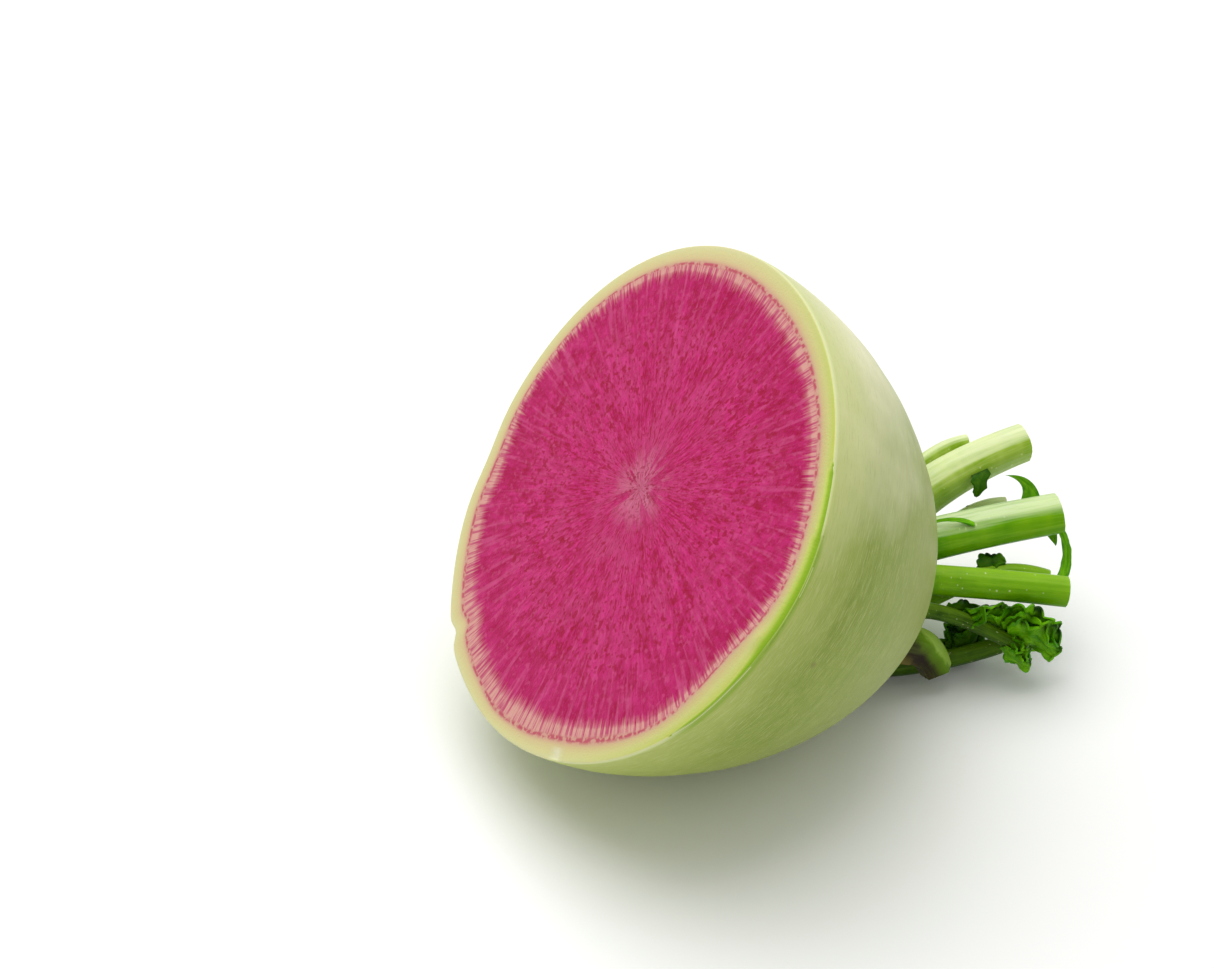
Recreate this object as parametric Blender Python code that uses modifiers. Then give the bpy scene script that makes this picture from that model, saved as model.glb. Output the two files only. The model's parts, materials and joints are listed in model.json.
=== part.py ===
"""Crown half of a watermelon radish, tipped over onto its side, with its cut leaf stalks.

The half is drawn standing on its cut face: the face lies at z = 0 and the crown points along +Z.
An empty then tips it over, so that the face looks out and up and the crown points down.
A place is given as (up, near, along) in millimetres from the middle of the cut face:
up is the side that ends up on top, near the side that faces the front view, and along the
distance from the face toward the crown. An angle round the axis starts at up and turns toward near.
"""

import math
from collections import namedtuple

import bmesh
import bpy
from mathutils import Vector

MM = 0.001

# The root
FACE_RADIUS = 45.0 * MM
CROWN_HEIGHT = 57.2 * MM
CROWN_RADIUS = 13.4 * MM
CROWN_EDGE = 0.4 * MM  # how far the crown's flat stands out over the skin's last ring
WIDEST_HEIGHT = 2.6 * MM
SKIN_LENGTH = 61.0 * MM  # from the widest height to where the skin's curve would reach the axis
SKIN_SHOULDER = 1.75  # how square the skin's curve is where it leaves the widest height
SKIN_NOSE = 1.5  # how blunt it is toward the crown
TIP_ANGLE = math.radians(38.1)  # how far the crown points below the horizontal
REST_DEPTH = 0.3 * MM  # what the root's lowest point is flattened by
REST_STEPS = 1000  # how many heights are looked at to find that lowest point
ROOT_STEPS = 96
SKIN_RINGS = 17
RING_CROWDING = 1.35  # over 1, the skin's rings lie closer together toward the crown
FACE_RINGS = 3
TURN_MERGE = 0.01 * MM

# Waves of the cut face's outline: (how many, height, angle of the first crest)
OUTLINE_WAVES = (
    (1, 0.4 * MM, math.radians(136)),
    (3, 0.6 * MM, math.radians(-44)),
    (4, 0.2 * MM, math.radians(-64)),
)
# Single bumps and dents of the outline: (height, angle, half-width of its bell in degrees)
OUTLINE_BUMPS = (
    (0.7 * MM, 71, 14),
    (0.6 * MM, 202, 10),
    (-0.9 * MM, 246, 9),
)
CHIP = (-1.3 * MM, 203, 2.4)  # a nick in the rim, which doesn't run on along the skin
CHIP_LENGTH = 3.0 * MM

# The leaf stalks
GAP = 0.4 * MM  # between the crown and each stalk's foot
STALK_SIDES = 14
STALK_RINGS = 9
GROOVE = 0.35  # how far the inner side of a stalk is sunk
STALK_MIDDLE = 0.45  # where along it a stalk has its middle_size

# foot: angle round the axis, in degrees, and distance from it in mm; rise: how far the stalk first
# spreads outward and follows the axis, in mm; bend: where its straight run starts, and tip: its cut
# end, both (up, near, along); foot_size, middle_size and tip_size: width and depth in mm
Stalk = namedtuple("Stalk", "name foot rise bend tip foot_size middle_size tip_size")
STALKS = (
    Stalk(
        "stalk_top",
        foot=(-64, 10.8), rise=(4.2, 7.0), bend=(19.0, -13.4, 61.5), tip=(36.4, -11.3, 76.3),
        foot_size=(7.4, 3.0), middle_size=(10.8, 10.4), tip_size=(8.5, 8.1),
    ),
    Stalk(
        "stalk_top_rear",
        foot=(-110, 10.8), rise=(5, 6.3), bend=(20.4, -23.9, 64.9), tip=(28.3, -22.0, 75.6),
        foot_size=(5.4, 3.4), middle_size=(5.2, 4.2), tip_size=(5.2, 4.6),
    ),
    Stalk(
        "stalk_upper",
        foot=(-19, 10.8), rise=(0, 3), bend=(14.4, -3.0, 62.1), tip=(30.8, 2.3, 79.9),
        foot_size=(8.0, 5.0), middle_size=(9.2, 8.8), tip_size=(8.8, 8.4),
    ),
    Stalk(
        "stalk_upper_rear",
        foot=(-60, 3.8), rise=(0, 11), bend=(18.2, -13.0, 69.9), tip=(25.0, -8.8, 79.4),
        foot_size=(4.0, 3.4), middle_size=(4.0, 3.6), tip_size=(4.0, 3.6),
    ),
    Stalk(
        "stalk_middle",
        foot=(27, 10.8), rise=(0, 2), bend=(12.2, 5.9, 62.9), tip=(22.1, 13.8, 81.2),
        foot_size=(6.0, 4.4), middle_size=(5.7, 5.6), tip_size=(5.8, 5.6),
    ),
    Stalk(
        "stalk_middle_rear",
        foot=(64, 3.8), rise=(0, 10), bend=(17.4, 1.8, 68.0), tip=(21.2, 8.4, 81.2),
        foot_size=(3.8, 3.2), middle_size=(3.4, 3.2), tip_size=(3.4, 3.2),
    ),
    Stalk(
        "stalk_low",
        foot=(58, 10.8), rise=(1, 2), bend=(9.2, 9.6, 62.4), tip=(9.8, 15.9, 79.0),
        foot_size=(3.6, 3.2), middle_size=(2.9, 2.8), tip_size=(2.6, 2.5),
    ),
    Stalk(
        "stalk_bruised",
        foot=(97, 10.8), rise=(0, 3), bend=(2.4, 10.6, 63.4), tip=(-2.0, 11.6, 70.0),
        foot_size=(8.2, 4.0), middle_size=(9.0, 4.8), tip_size=(6.4, 4.2),
    ),
    Stalk(
        "stalk_under",
        foot=(160, 10.8), rise=(0, 5), bend=(-4.0, 6.8, 72.0), tip=(7.2, 10.6, 79.4),
        foot_size=(4.8, 3.4), middle_size=(5.2, 4.6), tip_size=(4.4, 3.9),
    ),
    Stalk(
        "stalk_far",
        foot=(218, 10.8), rise=(0, 5), bend=(-3.0, -11.0, 68.0), tip=(1.0, -13.0, 78.0),
        foot_size=(5.2, 4.0), middle_size=(4.8, 4.0), tip_size=(4.6, 4.0),
    ),
)

# Scraps of leaf blade left on the stalks. start, middle and end lead along the scrap and across says
# which way its width runs, all (up, near, along); width in mm; edge names the outline; cells: faces
# along and across; ruffle is the height in mm of the waves along the edge, and waves how many there are
Blade = namedtuple(
    "Blade", "stalk edge width cells start middle end across ruffle waves", defaults=(0.0, 0)
)
BLADES = (
    # The torn lobe that lies along the top stalk's lower side
    Blade(
        "stalk_top", "tongue", 4.4, (4, 4),
        (29.2, -10.2, 68.6), (27.6, -6.4, 68.9), (24.8, -6.8, 69.7), (15, 0, 12), 0.2, 1,
    ),
    # The upper stalk's hooked horn, its tooth, its hanging strip and a thin sprout at its foot
    Blade(
        "stalk_upper", "horn", 4.2, (6, 2),
        (29.6, -1.0, 76.0), (33.6, -3.4, 74.9), (31.2, -5.2, 70.8), (15, 4, 15),
    ),
    Blade(
        "stalk_upper", "horn", 2.8, (4, 2),
        (28.6, 3.0, 79.0), (26.8, 4.0, 81.8), (26.4, 4.6, 81.8), (1, 2, 3),
    ),
    Blade(
        "stalk_upper", "strip", 1.9, (8, 3),
        (30.2, 3.6, 79.0), (27.4, 5.2, 85.6), (22.4, 7.6, 85.0), (0, 3, 5), 0.2, 1.5,
    ),
    Blade(
        "stalk_upper", "strip", 0.9, (4, 1),
        (16.8, -2.8, 61.8), (21.2, -1.6, 63.2), (22.2, 1.2, 65.6), (0, 1, 1),
    ),
    # Small curls on the two thin stalks behind
    Blade(
        "stalk_upper_rear", "tongue", 1.8, (3, 2),
        (20.6, -10.4, 74.0), (22.8, -10.0, 74.1), (23.2, -9.0, 76.1), (1, 2, 1),
    ),
    Blade(
        "stalk_middle_rear", "frill", 5.0, (7, 6),
        (14.6, 4.8, 72.4), (18.4, 2.8, 70.6), (19.4, 5.0, 73.8), (-1, 2, 1), 0.6, 1.5,
    ),
    Blade(
        "stalk_middle_rear", "tongue", 1.6, (3, 2),
        (19.0, 7.0, 77.6), (20.6, 6.8, 76.8), (21.2, 7.0, 78.0), (-1, 2, 1),
    ),
    # The low stalk's folded leaf, its big curly leaf and a smaller one under that
    Blade(
        "stalk_low", "frill", 7.6, (8, 8),
        (9.0, 11.6, 67.4), (12.4, 11.4, 69.4), (12.0, 12.6, 76.0), (3, 2, 2), 0.7, 2,
    ),
    Blade(
        "stalk_low", "frill", 14.6, (16, 10),
        (10.6, 13.8, 74.0), (14.6, 14.4, 75.8), (12.8, 18.6, 83.6), (4, 2, -2), 0.9, 3,
    ),
    Blade(
        "stalk_low", "frill", 6.0, (8, 5),
        (9.6, 14.8, 75.4), (8.0, 16.6, 77.8), (8.6, 17.6, 81.0), (3, 2, -2), 0.7, 2,
    ),
    # A dark leaf behind the low stalk, right under the middle one
    Blade(
        "stalk_low", "frill", 4.4, (8, 5),
        (8.6, 9.7, 64.0), (9.0, 8.4, 69.0), (12.6, 8.2, 79.4), (3, 0, -1), 0.4, 1.5,
    ),
    # The lowest stalk's scrap near its foot, the leaf at its end and a dark one that stands behind
    Blade(
        "stalk_under", "tongue", 2.6, (4, 3),
        (0.8, 9.0, 74.0), (-0.2, 8.6, 72.6), (1.2, 8.0, 71.0), (1, 1, 2), 0.2, 1,
    ),
    Blade(
        "stalk_under", "frill", 3.4, (6, 4),
        (6.0, 10.2, 77.8), (7.2, 11.2, 81.2), (6.8, 11.6, 84.2), (2, 1, 0), 0.4, 1.5,
    ),
    Blade(
        "stalk_under", "frill", 12.0, (8, 8),
        (-0.6, 7.4, 75.6), (2.6, 6.0, 76.4), (8.8, 5.2, 78.2), (1, 0, 4), 0.5, 1.5,
    ),
    # The hidden far stalk's leaf
    Blade(
        "stalk_far", "frill", 6.0, (8, 6),
        (0.0, -12.6, 75.6), (1.4, -15.4, 77.2), (4.2, -16.6, 80.8), (1, 0, 2), 0.6, 2,
    ),
)
BLADE_THICKNESS = 0.7 * MM
LEAST_HALF_WIDTH = 0.06  # of a scrap's full half-width, left at its pointed ends
HORN_TAPER = 0.8
STRIP_START = 0.45  # a strip's width at its root, as a share of its full one
TONGUE_BLUNTNESS = 2.2
TONGUE_NICKS = 0.12
FRILL_LOBES = 5
LOBE_DEPTH = 0.16
WAVE_SHIFT = 0.3  # how far the waves of a scrap's two edges are out of step

ROUGHNESS = 0.4
SHARP_ANGLE = math.radians(40)


def linear(red, green, blue):
    """A colour as screen values from 0 to 255, as Blender's linear colour."""
    scaled = [value / 255 for value in (red, green, blue)]
    return [s / 12.92 if s < 0.04045 else ((s + 0.055) / 1.055) ** 2.4 for s in scaled] + [1.0]


COLOURS = {
    "radish_half": linear(189, 60, 110),
    "stalk_top": linear(150, 180, 80),
    "stalk_top_rear": linear(195, 210, 140),
    "stalk_upper": linear(120, 160, 45),
    "stalk_upper_rear": linear(170, 195, 100),
    "stalk_middle": linear(105, 145, 35),
    "stalk_middle_rear": linear(110, 150, 40),
    "stalk_low": linear(60, 110, 20),
    "stalk_bruised": linear(60, 70, 20),
    "stalk_under": linear(70, 95, 30),
    "stalk_far": linear(80, 120, 30),
}


def clear_scene():
    for obj in list(bpy.data.objects):
        bpy.data.objects.remove(obj)


def place(up, near, along):
    """A place in millimetres as a vector of the standing half."""
    return Vector((-up, -near, along)) * MM


def round_axis(angle, radius, along):
    """The place at an angle round the axis, all in radians and metres."""
    return Vector((-radius * math.cos(angle), -radius * math.sin(angle), along))


def bell(angle, middle, half_width):
    """A smooth bump of height 1 round a circle, with its middle and half-width in degrees."""
    away = (math.degrees(angle) - middle + 180) % 360 - 180
    return math.exp(-((away / half_width) ** 2))


def new_object(name, mesh):
    obj = bpy.data.objects.new(name, mesh)
    collection.objects.link(obj)
    return obj


def applied(obj):
    """Replaces the object's mesh by what its modifiers make of it."""
    graph = bpy.context.evaluated_depsgraph_get()
    made = bpy.data.meshes.new_from_object(obj.evaluated_get(graph))
    obj.modifiers.clear()
    obj.data = made
    return obj


def skin_radius(along):
    """Radius of the root at a distance from the cut face."""
    reach = abs(along - WIDEST_HEIGHT) / SKIN_LENGTH
    return FACE_RADIUS * (1 - reach**SKIN_SHOULDER) ** (1 / SKIN_NOSE)


def outline_shift(angle, along):
    """How far the root's skin lies outside its turned form."""
    shift = sum(height * math.cos(n * (angle - crest)) for n, height, crest in OUTLINE_WAVES)
    shift += sum(height * bell(angle, at, wide) for height, at, wide in OUTLINE_BUMPS)
    fade = max(0.0, 1 - along / CROWN_HEIGHT)
    depth, middle, half_width = CHIP
    nick = depth * bell(angle, middle, half_width) * max(0.0, 1 - along / CHIP_LENGTH)
    return shift * fade + nick


def face_height():
    """Height of the cut face's middle over the table, once the half is tipped over."""
    reach = 0.0
    for step in range(REST_STEPS):
        along = CROWN_HEIGHT * step / REST_STEPS
        side = skin_radius(along) * math.cos(TIP_ANGLE) + along * math.sin(TIP_ANGLE)
        reach = max(reach, side)
    return reach - REST_DEPTH


def cut_at_table(obj):
    """Presses a piece's lowest side flat: cuts off what would reach under the table."""
    down = Vector((math.cos(TIP_ANGLE), 0, math.sin(TIP_ANGLE)))
    mesh = bmesh.new()
    mesh.from_mesh(obj.data)
    parts = mesh.verts[:] + mesh.edges[:] + mesh.faces[:]
    cut = bmesh.ops.bisect_plane(
        mesh, geom=parts, plane_co=down * table_depth, plane_no=down, clear_outer=True
    )
    edges = [part for part in cut["geom_cut"] if isinstance(part, bmesh.types.BMEdge)]
    if edges:
        bmesh.ops.contextual_create(mesh, geom=edges)
        bmesh.ops.recalc_face_normals(mesh, faces=mesh.faces)
    mesh.to_mesh(obj.data)
    mesh.free()


def root_profile():
    """Points (radius, height) from the crown's middle down the skin and in along the cut face."""
    profile = [(0.0, CROWN_HEIGHT), (CROWN_RADIUS / 2, CROWN_HEIGHT), (CROWN_RADIUS, CROWN_HEIGHT)]
    for ring in range(SKIN_RINGS):
        share = ring / (SKIN_RINGS - 1)
        along = (CROWN_HEIGHT - CROWN_EDGE) * (1 - share**RING_CROWDING)
        profile.append((skin_radius(along), along))
    for ring in reversed(range(FACE_RINGS)):
        profile.append((FACE_RADIUS * ring / FACE_RINGS, 0.0))
    return profile


def make_root():
    """The root: a turned dome with an uneven outline, a nick in its rim and a flat spot to rest on."""
    profile = root_profile()
    mesh = bpy.data.meshes.new("radish_half")
    mesh.from_pydata([(x, 0, z) for x, z in profile], [(i, i + 1) for i in range(len(profile) - 1)], [])
    root = new_object("radish_half", mesh)
    screw = root.modifiers.new("turn", "SCREW")
    screw.steps = ROOT_STEPS
    screw.render_steps = ROOT_STEPS
    screw.use_merge_vertices = True
    screw.merge_threshold = TURN_MERGE
    applied(root)
    for vertex in root.data.vertices:
        x, y, along = vertex.co
        radius = math.hypot(x, y)
        if radius == 0:
            continue
        angle = math.atan2(-y, -x)
        share = radius / skin_radius(along)
        vertex.co = round_axis(angle, radius + share * outline_shift(angle, along), along)
    cut_at_table(root)
    return root


def bezier(points, t):
    """The place and the direction at t on a curve with four control points."""
    a, b, c, d = points
    s = 1 - t
    spot = a * s**3 + b * (3 * s * s * t) + c * (3 * s * t * t) + d * t**3
    heading = (b - a) * (s * s) + (c - b) * (2 * s * t) + (d - c) * (t * t)
    return spot, heading.normalized()


def stalk_path(stalk):
    """A stalk's centre line: up from the crown along the axis, then off toward its tip."""
    angle, radius = stalk.foot
    foot = round_axis(math.radians(angle), radius * MM, CROWN_HEIGHT + GAP)
    spread, rise = stalk.rise
    leaving = foot + round_axis(math.radians(angle), spread * MM, rise * MM)
    return foot, leaving, place(*stalk.bend), place(*stalk.tip)


def stalk_frame(path, t):
    """Place, inner side and width direction of a stalk at t."""
    foot, _, bend, tip = path
    spot, heading = bezier(path, t)
    outward = Vector((foot.x, foot.y, 0)).normalized()
    if t == 0:
        # The foot's ring lies flat, so that it keeps its gap to the crown all round.
        return spot, -outward, Vector((0, 0, 1)).cross(-outward)
    leaning_out = max(0.0, (tip - bend).normalized().dot(outward))
    inner = Vector((0, 0, leaning_out)) - outward
    inner = (inner - heading * inner.dot(heading)).normalized()
    return spot, inner, heading.cross(inner)


def stalk_size(stalk, t):
    """Width and depth of a stalk at t, in mm: a smooth swell above the foot, then an even taper."""
    if t < STALK_MIDDLE:
        share = t / STALK_MIDDLE
        share = share * share * (3 - 2 * share)
        return [foot + (mid - foot) * share for foot, mid in zip(stalk.foot_size, stalk.middle_size)]
    share = (t - STALK_MIDDLE) / (1 - STALK_MIDDLE)
    return [mid + (tip - mid) * share for mid, tip in zip(stalk.middle_size, stalk.tip_size)]


def make_stalk(stalk):
    """A leaf stalk: a loft from its broad foot to its cut end, round outside and grooved inside."""
    path = stalk_path(stalk)
    mesh = bmesh.new()
    rings = []
    for ring in range(STALK_RINGS):
        t = ring / (STALK_RINGS - 1)
        spot, inner, across = stalk_frame(path, t)
        width, depth = stalk_size(stalk, t)
        loop = []
        for side in range(STALK_SIDES):
            turn = 2 * math.pi * side / STALK_SIDES
            sunk = 1 - GROOVE * max(0.0, math.sin(turn))
            point = spot + across * (width * MM / 2 * math.cos(turn))
            point += inner * (depth * MM / 2 * math.sin(turn) * sunk)
            loop.append(mesh.verts.new(point))
        rings.append(loop)
    for below, above in zip(rings, rings[1:]):
        for side in range(STALK_SIDES):
            after = (side + 1) % STALK_SIDES
            mesh.faces.new((below[side], below[after], above[after], above[side]))
    mesh.faces.new(rings[0])
    mesh.faces.new(rings[-1])
    bmesh.ops.recalc_face_normals(mesh, faces=mesh.faces)
    data = bpy.data.meshes.new(stalk.name)
    mesh.to_mesh(data)
    mesh.free()
    return new_object(stalk.name, data)


def edge_half_width(edge, s, side):
    """Half-width of a scrap, as a share of its full one, at s along it and on one side of its middle."""
    if edge == "horn":
        return 1 - s**HORN_TAPER
    if edge == "strip":
        return STRIP_START + (1 - STRIP_START) * s
    if edge == "tongue":
        nicks = 1 - TONGUE_NICKS * math.sin(9 * s + 2 * side)
        return math.sqrt(max(0.0, 1 - s**TONGUE_BLUNTNESS)) * nicks
    # A frilled leaf's edge, with rounded lobes cut into it
    lobes = 1 - LOBE_DEPTH + LOBE_DEPTH * math.cos(FRILL_LOBES * math.pi * s + 1.3 * side)
    return math.sqrt(max(0.0, math.sin(math.pi * (0.14 + 0.84 * s)))) * lobes


def make_blade(blade):
    """A scrap of leaf blade: a thin sheet along a curved middle line, waved toward its edges."""
    start, middle, end = (place(*spot) for spot in (blade.start, blade.middle, blade.end))
    across = place(*blade.across).normalized()
    mesh = bmesh.new()
    cells_along, cells_across = blade.cells
    bmesh.ops.create_grid(mesh, x_segments=cells_along, y_segments=cells_across, size=1)
    for vertex in mesh.verts:
        s = (vertex.co.x + 1) / 2
        side = vertex.co.y
        spot = start * (1 - s) ** 2 + middle * (2 * s * (1 - s)) + end * s**2
        heading = ((middle - start) * (1 - s) + (end - middle) * s).normalized()
        sideways = (across - heading * across.dot(heading)).normalized()
        share = max(LEAST_HALF_WIDTH, edge_half_width(blade.edge, s, math.copysign(1, side)))
        wave = math.sin(2 * math.pi * (blade.waves * s + WAVE_SHIFT * side)) * side * side
        wave *= min(1, 3 * s)
        vertex.co = spot + sideways * (side * share * blade.width * MM / 2)
        vertex.co += heading.cross(sideways) * (wave * blade.ruffle * MM)
    # Both faces of the sheet get the same triangles, so that they stay apart where it is waved.
    bmesh.ops.triangulate(mesh, faces=mesh.faces)
    data = bpy.data.meshes.new("blade")
    mesh.to_mesh(data)
    mesh.free()
    sheet = new_object("blade", data)
    solid = sheet.modifiers.new("thickness", "SOLIDIFY")
    solid.thickness = BLADE_THICKNESS
    solid.offset = 0
    return applied(sheet)


def fuse(stalk, blades):
    """Joins a stalk's scraps of blade to it, as one closed solid."""
    torn = bpy.data.collections.new("torn")
    bpy.context.scene.collection.children.link(torn)
    for blade in blades:
        collection.objects.unlink(blade)
        torn.objects.link(blade)
    union = stalk.modifiers.new("scraps", "BOOLEAN")
    union.operation = "UNION"
    union.operand_type = "COLLECTION"
    union.collection = torn
    applied(stalk)
    for blade in blades:
        bpy.data.objects.remove(blade)
    bpy.data.collections.remove(torn)


def make_leaf_stalk(stalk):
    """A leaf stalk with its scraps of blade, flat where it lies on the table."""
    obj = make_stalk(stalk)
    blades = [make_blade(blade) for blade in BLADES if blade.stalk == stalk.name]
    if blades:
        fuse(obj, blades)
    cut_at_table(obj)
    return obj


def finish(obj, lying):
    """Gives a piece its material and hangs it on the empty that tips the half over."""
    material = bpy.data.materials.new(obj.name)
    material.use_nodes = True
    shader = material.node_tree.nodes["Principled BSDF"]
    shader.inputs["Base Color"].default_value = COLOURS[obj.name]
    shader.inputs["Roughness"].default_value = ROUGHNESS
    shader.inputs["Metallic"].default_value = 0.0
    obj.data.materials.clear()
    obj.data.materials.append(material)
    obj.data.shade_smooth()
    obj.data.set_sharp_from_angle(angle=SHARP_ANGLE)
    obj.parent = lying


def tipped_over():
    """The empty that lays the half down."""
    lying = bpy.data.objects.new("lying", None)
    collection.objects.link(lying)
    lying.rotation_euler = (0, math.pi / 2 + TIP_ANGLE, 0)
    return lying


def centre_on_origin(pieces, lying):
    """Sets the empty down so that the pieces' box stands centred on the origin."""
    bpy.context.view_layer.update()
    corners = [piece.matrix_world @ vertex.co for piece in pieces for vertex in piece.data.vertices]
    for axis in (0, 1):
        values = [corner[axis] for corner in corners]
        lying.location[axis] = -(min(values) + max(values)) / 2
    lying.location.z = -min(corner.z for corner in corners)


clear_scene()
collection = bpy.data.collections.new("watermelon_radish")
bpy.context.scene.collection.children.link(collection)
table_depth = face_height()
lying = tipped_over()
pieces = [make_root()] + [make_leaf_stalk(stalk) for stalk in STALKS]
for piece in pieces:
    finish(piece, lying)
centre_on_origin(pieces, lying)
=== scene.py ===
# %% [markdown]
# # A watermelon radish, cut across: the crown half
#
# The half lies on its round side. Its cut face looks out and up, and the leaf stalks that were
# chopped short point down and away. This notebook dresses the plain solids of that half: the root
# with its thin skin, pale rind and magenta flesh, and ten leaf stalks with torn scraps of leaf.
#
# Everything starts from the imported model.

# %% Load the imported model
import json
import math
from collections import namedtuple

import bpy
from mathutils import Matrix, Vector, noise


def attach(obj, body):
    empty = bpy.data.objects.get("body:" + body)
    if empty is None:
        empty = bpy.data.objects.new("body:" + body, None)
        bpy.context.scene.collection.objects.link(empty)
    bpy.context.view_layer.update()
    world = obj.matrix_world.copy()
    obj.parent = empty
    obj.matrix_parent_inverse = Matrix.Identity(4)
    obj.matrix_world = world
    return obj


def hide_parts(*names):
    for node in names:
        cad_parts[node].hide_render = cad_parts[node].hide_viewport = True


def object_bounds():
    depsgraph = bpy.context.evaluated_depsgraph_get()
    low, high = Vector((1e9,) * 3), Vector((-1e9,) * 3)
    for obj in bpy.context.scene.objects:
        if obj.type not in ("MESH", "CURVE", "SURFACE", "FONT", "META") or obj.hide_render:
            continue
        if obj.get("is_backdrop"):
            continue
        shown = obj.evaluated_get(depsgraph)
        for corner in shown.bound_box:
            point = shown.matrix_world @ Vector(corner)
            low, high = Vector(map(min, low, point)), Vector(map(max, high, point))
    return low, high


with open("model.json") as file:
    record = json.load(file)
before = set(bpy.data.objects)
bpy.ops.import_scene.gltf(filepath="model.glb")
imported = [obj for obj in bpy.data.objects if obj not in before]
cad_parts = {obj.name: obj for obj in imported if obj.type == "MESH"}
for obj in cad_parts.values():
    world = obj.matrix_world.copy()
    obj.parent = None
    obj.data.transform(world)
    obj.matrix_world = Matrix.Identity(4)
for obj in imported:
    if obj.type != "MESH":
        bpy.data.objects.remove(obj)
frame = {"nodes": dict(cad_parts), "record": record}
cad_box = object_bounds()
print("the packed model has", len(frame["nodes"]), "nodes")
print("its box, in metres:", cad_box)

# %% [markdown]
# ## The half's own coordinates
#
# A turned form is easiest to draw standing up: the cut face at height 0 and the crown on the axis
# above it. The real half lies tipped over. So every piece is drawn standing, and one matrix lays it
# down. The matrix comes from the record, which gives the middle of the cut face and its direction.
#
# A place is written as (up, near, along) in millimetres: up is the side that ends up on top, near
# the side nearest to the viewer, and along is the distance from the cut face toward the crown.

# %% One matrix lays every piece down
MM = 0.001
mounts = {mount["name"]: mount for mount in frame["record"]["mounts"]}
face_middle = Vector(mounts["cut_face"]["pos_m"])
face_normal = Vector(mounts["cut_face"]["axis"])
tip_angle = math.atan2(face_normal.z, -face_normal.x)
turned_over = Matrix.Rotation(math.pi / 2 + tip_angle, 4, "Y")
lying = Matrix.Translation(face_middle) @ turned_over


def place(up, near, along):
    """A place in millimetres as a vector of the standing half."""
    return Vector((-up, -near, along)) * MM


def round_axis(angle, radius, along):
    """The place at an angle round the axis, turning from up toward near, in radians and metres."""
    return Vector((-radius * math.cos(angle), -radius * math.sin(angle), along))


def bell(value, middle, half_width):
    """A smooth bump of height 1."""
    return math.exp(-(((value - middle) / half_width) ** 2))


def bell_round(angle, middle, half_width):
    """The same bump round a circle, in degrees."""
    return bell((angle - middle + 180) % 360 - 180, 0, half_width)


def rise(value, low, high):
    """0 below low, 1 above high and a smooth ramp between them."""
    share = min(1.0, max(0.0, (value - low) / (high - low)))
    return share * share * (3 - 2 * share)


print("the crown points %.1f degrees below the horizontal" % math.degrees(tip_angle))

# %% [markdown]
# ## The camera
#
# The ellipse of a round cut tells how it was looked at. Its height over its width gives the tilt,
# and how much smaller its far side looks than its near side gives the distance. That was worked out
# beforehand, so the camera goes straight to its place: a short telephoto about half a metre away,
# looking 35 degrees down.

# %% Put the camera in place
LOOKING_DOWN = 35.3
TURNED = -22.9
FRAME_WIDTH = 1214
FOCAL_LENGTH = 2620  # in the same steps as the frame's width
SENSOR_WIDTH = 36
camera_data = bpy.data.cameras.new("camera")
camera = bpy.data.objects.new("camera", camera_data)
bpy.context.scene.collection.objects.link(camera)
camera.location = Vector((-167.3, -319.1, 298.9)) * MM
camera.rotation_euler = (math.radians(90 - LOOKING_DOWN), 0, math.radians(TURNED))
camera_data.sensor_width = SENSOR_WIDTH
camera_data.lens = FOCAL_LENGTH / FRAME_WIDTH * SENSOR_WIDTH
bpy.context.scene.camera = camera
print("lens: %.1f mm" % camera_data.lens)

# %% [markdown]
# ## Floor and light
#
# A white table, one large soft lamp high above and behind the radish, and a bright white room. The
# lamp makes the broad highlight on the stalks and the shadow that runs toward the viewer, and the
# room fills everything else.

# %% Floor, lamp and room
bpy.ops.object.select_all(action="DESELECT")
bpy.ops.mesh.primitive_plane_add(size=6)
floor = bpy.context.object
floor.name = "floor"
floor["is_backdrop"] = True
paper = bpy.data.materials.new("white_table")
paper.use_nodes = True
paper_shader = paper.node_tree.nodes["Principled BSDF"].inputs
paper_shader["Base Color"].default_value = (0.95, 0.95, 0.945, 1)
paper_shader["Roughness"].default_value = 0.6
floor.data.materials.append(paper)


def soft_lamp(name, place_m, size, power, aim):
    """A square lamp that looks at a place."""
    data = bpy.data.lights.new(name, "AREA")
    data.size = size
    data.energy = power
    lamp = bpy.data.objects.new(name, data)
    bpy.context.scene.collection.objects.link(lamp)
    lamp.location = place_m
    lamp.rotation_euler = (Vector(aim) - Vector(place_m)).to_track_quat("-Z", "Y").to_euler()


WINDOW_PLACE = (-0.06, 0.35, 1.1)
WINDOW_SIZE = 1.3
WINDOW_POWER = 11.7
ROOM_STRENGTH = 0.58
soft_lamp("window", WINDOW_PLACE, WINDOW_SIZE, WINDOW_POWER, (0, 0, 0.03))
room = bpy.data.worlds.new("room")
room.use_nodes = True
room_light = room.node_tree.nodes["Background"].inputs
room_light["Color"].default_value = (1, 1, 1, 1)
room_light["Strength"].default_value = ROOM_STRENGTH
bpy.context.scene.world = room
bpy.context.scene.view_settings.view_transform = "Standard"
print("lamp: %.1f m wide, %.1f W" % (WINDOW_SIZE, WINDOW_POWER))

# %% [markdown]
# ## Short names for nodes
#
# A material is a tree of nodes. Written out in full it takes many lines, so a small helper adds a
# node, links or sets its inputs and gives back its output. Then a tree reads like a sum.

# %% The node helper


def screen(red, green, blue):
    """A colour as screen values from 0 to 255, as Blender's linear colour."""
    scaled = [value / 255 for value in (red, green, blue)]
    return [s / 12.92 if s < 0.04045 else ((s + 0.055) / 1.055) ** 2.4 for s in scaled] + [1.0]


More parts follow.
